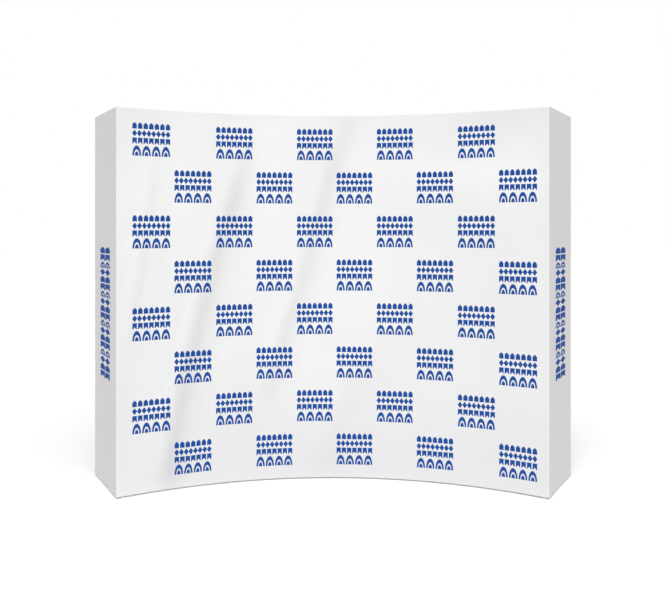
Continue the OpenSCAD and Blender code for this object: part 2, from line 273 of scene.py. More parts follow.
class Tree:
    """A node tree, with one way to add nodes to it."""

    def __init__(self, tree: bpy.types.NodeTree) -> None:
        """Empties the tree.

        Args:
            tree: A material's, world's or modifier's node tree.
        """
        self.tree = tree
        self.tree.nodes.clear()

    def link(self, source: bpy.types.NodeSocket, target: bpy.types.NodeSocket) -> None:
        """Joins two sockets."""
        self.tree.links.new(source, target)

    def feed(self, target: bpy.types.NodeSocket, value: Any) -> None:
        """Gives a socket its value or its link.

        Args:
            target: The socket.
            value: A Value, another node's socket, a number or a colour.
        """
        if isinstance(value, Value):
            self.link(value.socket, target)
        elif isinstance(value, bpy.types.NodeSocket):
            self.link(value, target)
        else:
            target.default_value = value

    def node(
        self,
        kind: str,
        settings: Optional[dict[str, Any]] = None,
        inputs: Optional[dict[Union[str, int], Any]] = None,
    ) -> bpy.types.Node:
        """Adds a node.

        Args:
            kind: The node's type.
            settings: Its own settings. They are set first.
            inputs: The values or links of its sockets, by name or number.

        Returns:
            The node.
        """
        made = self.tree.nodes.new(kind)
        for key, value in (settings or {}).items():
            setattr(made, key, value)
        for key, value in (inputs or {}).items():
            self.feed(made.inputs[key], value)
        return made

    def math(self, operation: str, *terms: Number) -> Value:
        """Adds a Math node.

        Args:
            operation: The node's operation.
            terms: Its inputs in order.

        Returns:
            The node's result.
        """
        made = self.node("ShaderNodeMath", {"operation": operation}, dict(enumerate(terms)))
        return Value(self, made.outputs[0])

    def seen(self) -> Value:
        """Tells the rays that show a surface from those that only light it.

        Returns:
            1 for a ray from the camera, mirrored or not, and 0 for a ray of diffuse light.
        """
        path = self.node("ShaderNodeLightPath")
        rays = [Value(self, path.outputs[f"Is {kind} Ray"]) for kind in ("Camera", "Glossy", "Transmission")]
        return rays[0].at_least(rays[1]).at_least(rays[2])


class Graph(Tree):
    """A material's node tree, with its Principled shader and output already in it."""

    def __init__(self, name: str) -> None:
        """Starts a material.

        Args:
            name: The material's name.
        """
        self.material = bpy.data.materials.new(name)
        self.material.use_nodes = True
        super().__init__(self.material.node_tree)
        self.output = self.node("ShaderNodeOutputMaterial")
        self.shader = self.node("ShaderNodeBsdfPrincipled")
        self.link(self.shader.outputs["BSDF"], self.output.inputs["Surface"])

    def mix(self, share: Number, first: Any, second: Any) -> bpy.types.NodeSocket:
        """Mixes two colours.

        Args:
            share: 0 for the first colour, 1 for the second.
            first: A colour or its socket.
            second: A colour or its socket.

        Returns:
            The mixed colour.
        """
        made = self.node("ShaderNodeMix", {"data_type": "RGBA", "clamp_factor": True})
        self.feed(made.inputs["Factor"], share)
        colour_inputs = [socket for socket in made.inputs if socket.type == "RGBA"]
        self.feed(colour_inputs[0], first)
        self.feed(colour_inputs[1], second)
        return next(socket for socket in made.outputs if socket.type == "RGBA")

    def vector(self, operation: str, *terms: Any) -> bpy.types.NodeSocket:
        """Adds a Vector Math node and gives its vector result."""
        made = self.node("ShaderNodeVectorMath", {"operation": operation}, dict(enumerate(terms)))
        return made.outputs["Vector"]

    def place(self) -> bpy.types.NodeSocket:
        """The point in the object's own coordinates."""
        return self.node("ShaderNodeTexCoord").outputs["Object"]

    def cloth_place(self, width: float, height: float) -> tuple[Value, Value]:
        """The place on a cloth from its own map.

        Args:
            width: Width that the map spans, in metres.
            height: Height that the map spans.

        Returns:
            Distance across from the map's left edge, and up from its lower edge.
        """
        flat = self.node("ShaderNodeUVMap", {"uv_map": CLOTH_MAP}).outputs["UV"]
        across, up, _ = self.axes(flat)
        return across * width, up * height

    def axes(self, vector: bpy.types.NodeSocket) -> tuple[Value, Value, Value]:
        """The three numbers of a vector."""
        made = self.node("ShaderNodeSeparateXYZ", inputs={0: vector})
        return tuple(Value(self, socket) for socket in made.outputs)

    def noise(self, vector: Any, scale: float, detail: float = 2.0, rough: float = 0.5) -> Value:
        """Adds a noise texture.

        Args:
            vector: Where it is read.
            scale: Its scale, in grains to a metre.
            detail: Its number of octaves.
            rough: The strength of the finer octaves.

        Returns:
            Its value, from 0 to 1.
        """
        inputs = {"Vector": vector, "Scale": scale, "Detail": detail, "Roughness": rough}
        made = self.node("ShaderNodeTexNoise", {"noise_dimensions": "3D"}, inputs)
        return Value(self, made.outputs[0])

    def bump(self, height: Value, distance: float, strength: float = 1.0) -> None:
        """Raises the surface's normal.

        Args:
            height: The relief, from 0 to 1.
            distance: The height of the relief in metres.
            strength: The share of the relief that shows.
        """
        made = self.node("ShaderNodeBump", inputs={"Strength": strength, "Distance": distance})
        self.feed(made.inputs["Height"], height)
        self.feed(self.shader.inputs["Normal"], made.outputs["Normal"])

    def finish(self, colour: Any, roughness: Any, **constants: float) -> bpy.types.Material:
        """Sets the shader's main sockets.

        Args:
            colour: The base colour or its socket.
            roughness: The roughness or its value.
            constants: Numbers that are the same all over, by socket name with _ for a space.

        Returns:
            The material.
        """
        self.feed(self.shader.inputs["Base Color"], colour)
        self.feed(self.shader.inputs["Roughness"], roughness)
        for name, value in constants.items():
            self.shader.inputs[name.replace("_", " ")].default_value = value
        return self.material


Colour = tuple[float, float, float, float]


def srgb(red: int, green: int, blue: int) -> Colour:
    """A display colour as the linear one that a shader takes.

    Args:
        red: Red from 0 to 255.
        green: Green from 0 to 255.
        blue: Blue from 0 to 255.

    Returns:
        The linear colour.
    """
    def linear(level: int) -> float:
        """One channel, by the sRGB curve."""
        share = level / 255
        return share / 12.92 if share <= 0.04045 else ((share + 0.055) / 1.055) ** 2.4

    return linear(red), linear(green), linear(blue), 1.0


def scaled(colour: Colour, factor: float) -> Colour:
    """A colour made lighter or darker by a factor."""
    red, green, blue, alpha = colour
    return factor * red, factor * green, factor * blue, alpha


# ---------------------------------------------------------------- print


# Measures of the shapes, each of which spans -1 to 1 both ways
GABLE_PEAK = 1.3
DIAMOND_REACH = 1.12
NOTCH_START = 0.35
FAN_BAND = 0.60
FAN_CORE = 0.42

# Distance over which the edge of the ink fades
INK_SOFT = 1.6 * MM


class Motif(Enum):
    """The plain shapes that the print is made of."""

    HOUSE = "gabled house"
    DIAMOND = "diamond"
    FLAG = "notched flag"
    FAN = "fan of two bands"

    def inside(self, x: Value, y: Value) -> Value:
        """How far inside the shape a point is, where the shape spans -1 to 1 both ways.

        Args:
            x: The point's place across the shape.
            y: The point's place up the shape.

        Returns:
            A number that is positive inside and falls to 0 at the edge.
        """
        box = (1.0 - abs(x)).at_most(1.0 - abs(y))
        if self is Motif.HOUSE:
            return box.at_most(GABLE_PEAK - y - abs(x))
        if self is Motif.DIAMOND:
            return DIAMOND_REACH - abs(x) - abs(y)
        if self is Motif.FLAG:
            return box.at_most(y + NOTCH_START + abs(x))
        lift = (y + 1.0) * 0.5
        radius = (x * x + lift * lift).sqrt()
        band = (1.0 - radius).at_most(radius - FAN_BAND)
        return band.at_least(FAN_CORE - radius).at_most(y + 1.0)


def inked(inside: Value, half: float) -> Value:
    """The ink of a shape, from how far inside it a point is and from half its size."""
    return (inside * half / INK_SOFT + 0.5).clamp()


def in_grid(row: Value, column: Value, rows: int, columns: int) -> Value:
    """1 where a place counted in rows and columns is in the grid, and 0 outside it."""
    in_rows = row.above(0.0) * row.below(float(rows))
    return in_rows * column.above(0.0) * column.below(float(columns))


@dataclass(frozen=True)
class MotifRow:
    """A row of equal shapes in a print block."""

    motif: Motif
    count: int
    middle: float
    height: float
    gap: float = 6 * MM


@dataclass(frozen=True)
class PrintBlock:
    """One block of the repeated print: rows of plain shapes, the last one larger."""

    width: float = 222 * MM
    rows: tuple[MotifRow, ...] = (
        MotifRow(Motif.HOUSE, 7, 80 * MM, 36 * MM),
        MotifRow(Motif.DIAMOND, 8, 36 * MM, 36 * MM, 2 * MM),
        MotifRow(Motif.FLAG, 7, -8 * MM, 36 * MM),
        MotifRow(Motif.FAN, 4, -66 * MM, 60 * MM),
    )

    def mask(self, x: Value, y: Value) -> Value:
        """The ink of a block.

        Args:
            x: Distance to the right of the block's middle.
            y: Distance above it.

        Returns:
            1 on ink and 0 beside it.
        """
        ink = None
        for row in self.rows:
            pitch = (self.width + row.gap) / row.count
            half = (pitch - row.gap) / 2
            across = ((x + (self.width + row.gap) / 2) / pitch).fract() * pitch - pitch / 2
            tall = row.height / 2
            inside = row.motif.inside(across / half, (y - row.middle) / tall)
            near = abs(y - row.middle).below(tall + INK_SOFT)
            here = inked(inside, min(half, tall)) * near
            ink = here if ink is None else ink.at_least(here)
        return ink * abs(x).below(self.width / 2 + INK_SOFT)


@dataclass(frozen=True)
class PrintLayout:
    """Where the blocks stand on the front: two interleaved columns of rows, like bricks."""

    pitch: float = 0.4975
    row_pitch: float = 0.2705
    top_row: float = 2.079
    odd_start: float = -1.107
    even_start: float = -0.860
    rows: int = 8
    columns: int = 5
    block: PrintBlock = field(default_factory=PrintBlock)

    def mask(self, along: Value, z: Value) -> Value:
        """The ink on the front.

        Args:
            along: Arc length from the middle.
            z: Height above the floor.

        Returns:
            1 on ink and 0 beside it.
        """
        row = ((self.top_row + self.row_pitch / 2) - z) / self.row_pitch
        parity = (row.floor() * 0.5).fract() * 2.0
        y = (row.fract() - 0.5) * -self.row_pitch
        shift = parity * (self.even_start - self.odd_start)
        column = (along - self.odd_start - shift) / self.pitch + 0.5
        x = column.fract() * self.pitch - self.pitch / 2
        return self.block.mask(x, y) * in_grid(row, column, self.rows, self.columns)


@dataclass(frozen=True)
class PrintStrip:
    """The upright strip of plain shapes on an end panel."""

    middle: float = 0.247
    width: float = 0.215
    low: float = 0.655
    high: float = 1.445
    rows: int = 18
    columns: int = 2
    gap: float = 7 * MM
    shapes: tuple[Motif, ...] = (Motif.FLAG, Motif.HOUSE, Motif.DIAMOND, Motif.FAN)

    def mask(self, depth: Value, z: Value) -> Value:
        """The ink on an end panel.

        Args:
            depth: Distance behind the front corner.
            z: Height above the floor.

        Returns:
            1 on ink and 0 beside it.
        """
        tall = (self.high - self.low + self.gap) / self.rows
        wide = (self.width + self.gap) / self.columns
        half_tall, half_wide = (tall - self.gap) / 2, (wide - self.gap) / 2
        row = (z - self.low) / tall
        column = (depth - (self.middle - self.width / 2)) / wide
        y = (row.fract() * tall - half_tall) / half_tall
        x = (column.fract() * wide - half_wide) / half_wide
        kinds = len(self.shapes)
        kind = ((row.floor() + 0.5) / kinds).fract() * kinds
        ink = None
        for number, motif in enumerate(self.shapes):
            chosen = abs(kind - (number + 0.5)).below(0.25)
            here = inked(motif.inside(x, y), half_tall) * chosen
            ink = here if ink is None else ink + here
        return ink * in_grid(row, column, self.rows, self.columns)


# ---------------------------------------------------------------- finishes


PrintMask = Callable[[Value, Value], Value]


@dataclass(frozen=True)
class ClothFinish:
    """A finish of the cloth, printed from the cloth's own map."""

    name: str

    def make(self, width: float, height: float, print_mask: PrintMask) -> bpy.types.Material:
        """Builds the material.

        Args:
            width: Width of the cloth that its map spans, in metres.
            height: Height that the map spans.
            print_mask: Gives the ink from the place across and the place up.

        Returns:
            The material.
        """
        graph = Graph(self.name)
        across, up = graph.cloth_place(width, height)
        return self.dye(graph, across, up, print_mask(across, up))

    def dye(self, graph: Graph, across: Value, up: Value, ink: Value) -> bpy.types.Material:
        """Sets the colour, the shine and the relief of the cloth.

        Args:
            graph: The material's node tree.
            across: The place across the cloth.
            up: The place up the cloth.
            ink: 1 on ink and 0 beside it.

        Returns:
            The material.
        """
        raise NotImplementedError


@dataclass(frozen=True)
class KnitFinish(ClothFinish):
    """The face of a fine stretch knit, printed, with shade and light painted into its colour along its folds.
    """

    # Painted shade and light: cloth is the lightest colour, painted on ridges and swells, and furrow the
    # darkest, painted in the folds
    cloth: Colour
    furrow: Colour
    ink: Colour = srgb(17, 70, 145)
    wale: float = 1.1 * MM
    course: float = 0.9 * MM
    loop_bend: float = 1.4
    relief: float = 0.06 * MM
    rough: float = 0.80
    fuzz_shade: float = 0.93
    ink_cover: float = 0.995

    def dye(self, graph: Graph, across: Value, up: Value, ink: Value) -> bpy.types.Material:
        """Paints shade and light into the knit's colour along its folds, lays the ink on it and raises its
        loops.

        Args:
            graph: The material's node tree.
            across: The place across the cloth.
            up: The place up the cloth.
            ink: 1 on ink and 0 beside it.

        Returns:
            The material.
        """
        # Painted shade and light: the attribute mixes the cloth from its painted light colour to its painted
        # furrow shade
        tone = graph.node("ShaderNodeAttribute", {"attribute_name": PAINTED_SHADING}).outputs["Fac"]
        painted_shading = Value(graph, tone)
        fuzz = graph.noise(graph.place(), scale=420.0)
        shade = graph.mix(0.5 - painted_shading * 0.5, self.cloth, self.furrow)
        shade = graph.mix(fuzz * 0.10, shade, scaled(self.cloth, self.fuzz_shade))
        shade = graph.mix(ink * (self.ink_cover - fuzz * 0.01), shade, self.ink)
        roughness = self.rough + fuzz * 0.12 - ink * 0.06
        loop = abs((across * (math.pi / self.wale)).sin())
        rib = abs((up * (math.pi / self.course) + loop * self.loop_bend).sin())
        graph.bump(loop * 0.6 + rib * 0.4 + fuzz * 0.3, distance=self.relief, strength=0.6)
        return graph.finish(shade, roughness, Sheen_Weight=0.02, Sheen_Roughness=0.5, Specular_IOR_Level=0.08)


@dataclass(frozen=True)
class BrushedFinish(ClothFinish):
    """The brushed loop face on the back of the cloth, where the print shows through faintly."""

    cloth: Colour = srgb(228, 228, 229)
    clouded: Colour = srgb(212, 212, 214)
    ghost: Colour = srgb(150, 164, 192)
    through: float = 0.24
    nap_height: float = 0.35 * MM
    rough: float = 0.93

    def dye(self, graph: Graph, across: Value, up: Value, ink: Value) -> bpy.types.Material:
        """Clouds the nap, lets the ink through faintly and raises the loops.

        Args:
            graph: The material's node tree.
            across: The place across the cloth.
            up: The place up the cloth.
            ink: 1 on ink and 0 beside it.

        Returns:
            The material.
        """
        place = graph.place()
        nap = graph.noise(place, scale=260.0, detail=4.0, rough=0.6)
        cloud = graph.noise(place, scale=9.0, detail=3.0)
        shade = graph.mix(cloud * 0.5 + nap * 0.4, self.cloth, self.clouded)
        shade = graph.mix(ink * self.through, shade, self.ghost)
        graph.bump(nap, distance=self.nap_height, strength=0.7)
        return graph.finish(shade, self.rough - nap * 0.06, Sheen_Weight=0.25, Specular_IOR_Level=0.2)


@dataclass(frozen=True)
class TapeFinish:
    """Woven hook tape."""

    name: str = "hook_tape"
    shade: Colour = srgb(238, 238, 236)
    soiled: Colour = srgb(220, 220, 216)
    thread: float = 0.9 * MM
    rough: float = 0.62

    def make(self) -> bpy.types.Material:
        """Builds the material.

        Returns:
            The material.
        """
        graph = Graph(self.name)
        x, y, z = graph.axes(graph.place())
        turns = math.tau / self.thread
        weave = (z * turns).sin() * ((x + y) * turns).sin()
        speck = graph.noise(graph.place(), scale=300.0, detail=3.0)
        colour = graph.mix(speck * 0.5, self.shade, self.soiled)
        graph.bump(weave * 0.5 + 0.5, distance=0.12 * MM, strength=0.7)
        return graph.finish(colour, self.rough + speck * 0.2, Specular_IOR_Level=0.35)


@dataclass(frozen=True)
class MouldedFinish:
    """Moulded plastic with a fine spark-eroded grain and light handling wear."""

    name: str
    shade: Colour
    scuffed: Colour
    grain: float = 1400.0
    gloss: float = 0.48
    flow_light: float = 1.35
    scuff_start: float = 0.60
    scuff_share: float = 0.55

    def make(self) -> bpy.types.Material:
        """Builds the material.

        Returns:
            The material.
        """
        graph = Graph(self.name)
        place = graph.place()
        fine = graph.noise(place, scale=self.grain, detail=3.0, rough=0.6)
        flow = graph.noise(place, scale=34.0, detail=3.0)
        upright = graph.vector("MULTIPLY", place, (1.0, 1.0, 3.0))
        rub = graph.noise(upright, scale=95.0, detail=5.0, rough=0.65)
        scuff = ((rub - self.scuff_start) * 6.0).clamp() * self.scuff_share
        shade = graph.mix(flow * 0.35, self.shade, scaled(self.shade, self.flow_light))
        shade = graph.mix(scuff, shade, self.scuffed)
        graph.bump(fine, distance=0.05 * MM, strength=0.6)
        roughness = self.gloss + fine * 0.10 + scuff * 0.18 - flow * 0.06
        return graph.finish(shade, roughness, Specular_IOR_Level=0.45)


@dataclass(frozen=True)
class DrawnMetalFinish:
    """Drawn or plated metal with fine draw lines and a satin shine."""

    name: str
    shade: Colour
    dull: Colour
    line: float = 900.0
    gloss: float = 0.30

    def make(self) -> bpy.types.Material:
        """Builds the material.

        Returns:
            The material.
        """
        graph = Graph(self.name)
        place = graph.place()
        drawn = graph.vector("MULTIPLY", place, (1.0, 1.0, 0.12))
        draw = graph.noise(drawn, scale=self.line, detail=3.0, rough=0.6)
        cloud = graph.noise(place, scale=14.0, detail=4.0)
        handled = ((cloud - 0.5) * 3.0).clamp()
        shade = graph.mix(handled * 0.6 + draw * 0.2, self.shade, self.dull)
        graph.bump(draw, distance=0.02 * MM, strength=0.5)
        roughness = self.gloss + draw * 0.10 + handled * 0.10
        return graph.finish(shade, roughness, Metallic=1.0)


@dataclass(frozen=True)
class NylonFinish:
    """Natural nylon, slightly waxy."""

    name: str = "natural_nylon"
    shade: Colour = srgb(232, 230, 222)
    clouded: Colour = srgb(214, 211, 200)
    rough: float = 0.42

    def make(self) -> bpy.types.Material:
        """Builds the material.

        Returns:
            The material.
        """
        graph = Graph(self.name)
        cloud = graph.noise(graph.place(), scale=120.0, detail=3.0)
        shade = graph.mix(cloud * 0.5, self.shade, self.clouded)
        graph.bump(cloud, distance=0.05 * MM, strength=0.4)
        return graph.finish(shade, self.rough + cloud * 0.12)


@dataclass(frozen=True)
class ThreadFinish:
    """Twisted polyester thread."""

    name: str = "sewing_thread"
    shade: Colour = srgb(240, 240, 241)
    fuzzed: Colour = srgb(222, 222, 224)
    lay: float = 0.35 * MM
    rough: float = 0.55

    def make(self) -> bpy.types.Material:
        """Builds the material.

        Returns:
            The material.
        """
        graph = Graph(self.name)
        x, y, z = graph.axes(graph.place())
        twist = ((x + y + z) * (math.tau / self.lay)).sin()
        fuzz = graph.noise(graph.place(), scale=900.0)
        shade = graph.mix(fuzz * 0.5, self.shade, self.fuzzed)
        graph.bump(twist * 0.5 + 0.5, distance=0.04 * MM, strength=0.5)
        return graph.finish(shade, self.rough + fuzz * 0.15, Sheen_Weight=0.2)


# ---------------------------------------------------------------- mesh helpers


def new_piece(name: str, mesh: bpy.types.Mesh, materials: Iterable[bpy.types.Material]) -> bpy.types.Object:
    """Makes an object at the origin from a mesh.

    Args:
        name: The piece's name.
        mesh: Its mesh, with its place in its vertices.
        materials: Its materials in the order of its material indices.

    Returns:
        The object.
    """
    if mesh.materials:
        mesh.materials.clear()
    for material in materials:
        mesh.materials.append(material)
    piece = bpy.data.objects.new(name, mesh)
    bpy.context.scene.collection.objects.link(piece)
    return piece


def report(piece: bpy.types.Object, slot: str) -> None:
    """Logs a piece, with its number of faces and the name of its slot."""
    LOG.info("%s: %d faces, slot %s", piece.name, len(piece.data.polygons), slot)


def span(start: float, end: float, step: float) -> list[float]:
    """Evenly spaced numbers from start to end, about step apart, with both ends in."""
    count = max(1, round(abs(end - start) / step))
    return [start + (end - start) * n / count for n in range(count + 1)]


def bell(distance: float, width: float) -> float:
    """A smooth hump of height 1 that is about twice width across."""
    return math.exp(-((distance / width) ** 2))


def ease(share: float) -> float:
    """A smooth step from 0 to 1."""
    held = min(1.0, max(0.0, share))
    return held * held * (3 - 2 * held)


Surface = Callable[[float, float], Vector]
# A field of painted light and shade over a cloth, by place across and height
PaintedShadingField = Callable[[float, float], float]


@dataclass
class ClothShell:
    """A closed cloth shell over a grid, with an outer face, a back face and thin edges."""

    name: str
    outer: Surface
    inner: Surface
    across: Sequence[float]
    up: Sequence[float]
    # The painted light and shade over the cloth, if any
    painted_shading: Optional[PaintedShadingField] = None

    FACE = 0
    BACK = 1
    CREASE = math.radians(50)

    def build(self, materials: Sequence[bpy.types.Material]) -> bpy.types.Object:
        """Builds the shell.

        Args:
            materials: The face's material and the back's.

        Returns:
            The piece.
        """
        mesh_maker = bmesh.new()
        flat_map = mesh_maker.loops.layers.uv.new(CLOTH_MAP)
        wide, tall = len(self.across), len(self.up)
        sheets = [
            [[mesh_maker.verts.new(surface(u, v)) for u in self.across] for v in self.up]
            for surface in (self.outer, self.inner)
        ]
        left, right = self.across[0], self.across[-1]
        low, high = self.up[0], self.up[-1]

        def add(corners: list[tuple[int, int, int]], material: int) -> None:
            """Adds one face.

            Args:
                corners: The numbers of the sheet, the row and the column of each corner.
                material: The number of its material.
            """
            face = mesh_maker.faces.new([sheets[s][j][i] for s, j, i in corners])
            face.material_index = material
            face.smooth = True
            for loop, (_, j, i) in zip(face.loops, corners):
                share_across = (self.across[i] - left) / (right - left)
                share_up = (self.up[j] - low) / (high - low)
                loop[flat_map].uv = (share_across, share_up)

        for j in range(tall - 1):
            for i in range(wide - 1):
                around = [(j, i), (j, i + 1), (j + 1, i + 1), (j + 1, i)]
                add([(0, *corner) for corner in around], self.FACE)
                add([(1, *corner) for corner in reversed(around)], self.BACK)
        for i in range(wide - 1):
            for j in (0, tall - 1):
                add([(0, j, i), (1, j, i), (1, j, i + 1), (0, j, i + 1)], self.FACE)
        for j in range(tall - 1):
            for i in (0, wide - 1):
                add([(0, j, i), (0, j + 1, i), (1, j + 1, i), (1, j, i)], self.FACE)
        bmesh.ops.recalc_face_normals(mesh_maker, faces=mesh_maker.faces)
        mesh = bpy.data.meshes.new(self.name)
        mesh_maker.to_mesh(mesh)
        mesh_maker.free()
        # Painted light and shade: each grid point's painted level, the same on both faces, goes into an
        # attribute that the material reads
        if self.painted_shading:
            shade = mesh.attributes.new(PAINTED_SHADING, "FLOAT", "POINT")
            one_side = [self.painted_shading(u, v) for v in self.up for u in self.across]
            shade.data.foreach_set("value", one_side * 2)
        mesh.set_sharp_from_angle(angle=self.CREASE)
        return new_piece(self.name, mesh, materials)


# ---------------------------------------------------------------- stitches


class StitchTree:
    """A Geometry Nodes tree that sews stitches along the edges of a guide mesh."""

    def __init__(self) -> None:
        """Builds the tree once for all rows of stitches."""
        self.group = bpy.data.node_groups.new("stitch_row", "GeometryNodeTree")
        face = self.group.interface
        face.new_socket("Guide", in_out="INPUT", socket_type="NodeSocketGeometry")
        self.sizes = {
            name: face.new_socket(name, in_out="INPUT", socket_type="NodeSocketFloat").identifier
            for name in ("Pitch", "Length", "Thickness")
        }
        self.thread = face.new_socket("Thread", in_out="INPUT", socket_type="NodeSocketMaterial").identifier
        face.new_socket("Stitches", in_out="OUTPUT", socket_type="NodeSocketGeometry")
        tree = Tree(self.group)
        entry = tree.node("NodeGroupInput")
        size = {name: entry.outputs[name] for name in self.sizes}
        curve = tree.node("GeometryNodeMeshToCurve", inputs={0: entry.outputs["Guide"]})
        spacing = {"Curve": curve.outputs[0], "Length": size["Pitch"]}
        dots = tree.node("GeometryNodeResampleCurve", {"mode": "LENGTH"}, spacing)
        tangent = tree.node("GeometryNodeInputTangent")
        turn = tree.node("FunctionNodeAlignRotationToVector", {"axis": "X"}, {"Vector": tangent.outputs[0]})
        bead = tree.node("GeometryNodeMeshIcoSphere", inputs={"Radius": 0.5, "Subdivisions": 1})
        thick = size["Thickness"]
        scale = tree.node("ShaderNodeCombineXYZ", inputs={0: size["Length"], 1: thick, 2: thick})
        places = {
            "Points": dots.outputs[0],
            "Instance": bead.outputs["Mesh"],
            "Rotation": turn.outputs[0],
            "Scale": scale.outputs[0],
        }
        sewn = tree.node("GeometryNodeInstanceOnPoints", inputs=places)
        real = tree.node("GeometryNodeRealizeInstances", inputs={0: sewn.outputs[0]})
        smooth = tree.node("GeometryNodeSetShadeSmooth", inputs={0: real.outputs[0]})
        dye = {0: smooth.outputs[0], "Material": entry.outputs["Thread"]}
        dyed = tree.node("GeometryNodeSetMaterial", inputs=dye)
        tree.node("NodeGroupOutput", inputs={0: dyed.outputs[0]})

    def sew(
        self,
        name: str,
        paths: Sequence[Sequence[Vector]],
        thread: bpy.types.Material,
        pitch: float = 3.0 * MM,
        length: float = 2.5 * MM,
        thickness: float = 0.55 * MM,
    ) -> bpy.types.Object:
        """Sews stitches along paths and gives them as one plain mesh.

        Args:
            name: The piece's name.
            paths: The lines that the stitches follow.
            thread: The thread's material.
            pitch: Distance from stitch to stitch.
            length: Length of a stitch.
            thickness: Thickness of the thread.

        Returns:
            The piece.
        """
        guide_mesh = bpy.data.meshes.new(name + "_guide")
        points, edges = [], []
        for path in paths:
            first = len(points)
            points.extend(path)
            edges.extend((n, n + 1) for n in range(first, len(points) - 1))
        guide_mesh.from_pydata(points, edges, [])
        guide = bpy.data.objects.new(name + "_guide", guide_mesh)
        bpy.context.scene.collection.objects.link(guide)
        modifier = guide.modifiers.new("stitches", "NODES")
        modifier.node_group = self.group
        for key, value in (("Pitch", pitch), ("Length", length), ("Thickness", thickness)):
            modifier[self.sizes[key]] = value
        modifier[self.thread] = thread
        depsgraph = bpy.context.evaluated_depsgraph_get()
        mesh = bpy.data.meshes.new_from_object(guide.evaluated_get(depsgraph))
        mesh.name = name
        guide.modifiers.remove(modifier)
        bpy.data.objects.remove(guide)
        return new_piece(name, mesh, [thread])


# ---------------------------------------------------------------- hems, seams, folds, and the painted light and shade of folds and swells


# Reach of the dimple beside a row of stitches, and the step of the grid there
STITCH_PULL = 0.7 * MM
STITCH_GRID = 0.9 * MM

# Distance from the corner at which the close columns of its seam have ended
SEAM_CLEAR = 9 * MM


@dataclass(frozen=True)
class Hem:
    """A folded hem with two rows of stitches, measured in from the edge of the cloth."""

    width: float = 25 * MM
    lip: float = 0.2 * MM
    turned: float = 0.9 * MM
    stitch_rows: tuple[float, float] = (19 * MM, 23 * MM)
    dimple: float = 0.35 * MM
    roll: float = 0.45 * MM
    roll_reach: float = 1.6 * MM
    edge_grid: tuple[float, ...] = (0.0, 0.5 * MM, 1.6 * MM, 5 * MM, 12 * MM)
    past_grid: tuple[float, ...] = (0.0, 0.5 * MM, 4 * MM, 11 * MM)

    def grid(self) -> list[float]:
        """The rows of the cloth's grid in the hem and just past it.

        Returns:
            Distances from the edge, rising.
        """
        first, second = self.stitch_rows
        sewn = [first - 2 * STITCH_GRID, first - STITCH_GRID, first, first + STITCH_GRID]
        sewn += [second - STITCH_GRID, second, second + STITCH_GRID]
        return [*self.edge_grid, *sewn, *(self.width + past for past in self.past_grid)]

    def relief(self, inset: float) -> float:
        """How far the rolled edge and the stitches' dimples stand proud at a distance from the edge."""
        rolled = self.roll * (1 - ease(inset / self.roll_reach))
        return -rolled - self.dimple * sum(bell(inset - row, STITCH_PULL) for row in self.stitch_rows)

    def thickness(self, inset: float) -> float:
        """How much thicker the cloth is at a distance from the edge."""
        return self.turned + self.relief(inset) if inset <= self.width + self.lip else 0.0


@dataclass(frozen=True)
class CornerSeam:
    """The topstitched seam that joins the front to an end panel, on either side of the corner."""

    inset: float = 5 * MM
    dimple: float = 0.3 * MM
    near: tuple[float, float] = (0.9 * MM, 2.5 * MM)

    def grid(self) -> list[float]:
        """Distances from the corner at which the cloth's grid has a column."""
        return [*self.near, self.inset - STITCH_GRID, self.inset, self.inset + STITCH_GRID]

    def pull(self, distance: float) -> float:
        """How deep the stitches pull the face in at a distance from the corner."""
        return self.dimple * bell(distance - self.inset, STITCH_PULL)


def hemmed_heights(low: float, high: float, hem: Hem, step: float) -> list[float]:
    """Heights of a cloth's grid rows, close together in its two hems.

    Args:
        low: Height of the bottom edge.
        high: Height of the top edge.
        hem: The hem of both edges.
        step: Distance between rows elsewhere.

    Returns:
        The heights, rising.
    """
    rows = hem.grid()
    bottom = [low + row for row in rows]
    top = [high - row for row in reversed(rows)]
    return bottom + span(bottom[-1], top[0], step)[1:-1] + top


@dataclass(frozen=True)
class Wave:
    """A slight wave of the cloth, with its turn along it and up it in radians to the metre."""

    height: float
    along: float
    up: float
    phase: float = 0.0

    def at(self, run: float, z: float) -> float:
        """Its height at a point of the cloth."""
        return self.height * math.sin(self.along * run + self.up * z + self.phase)


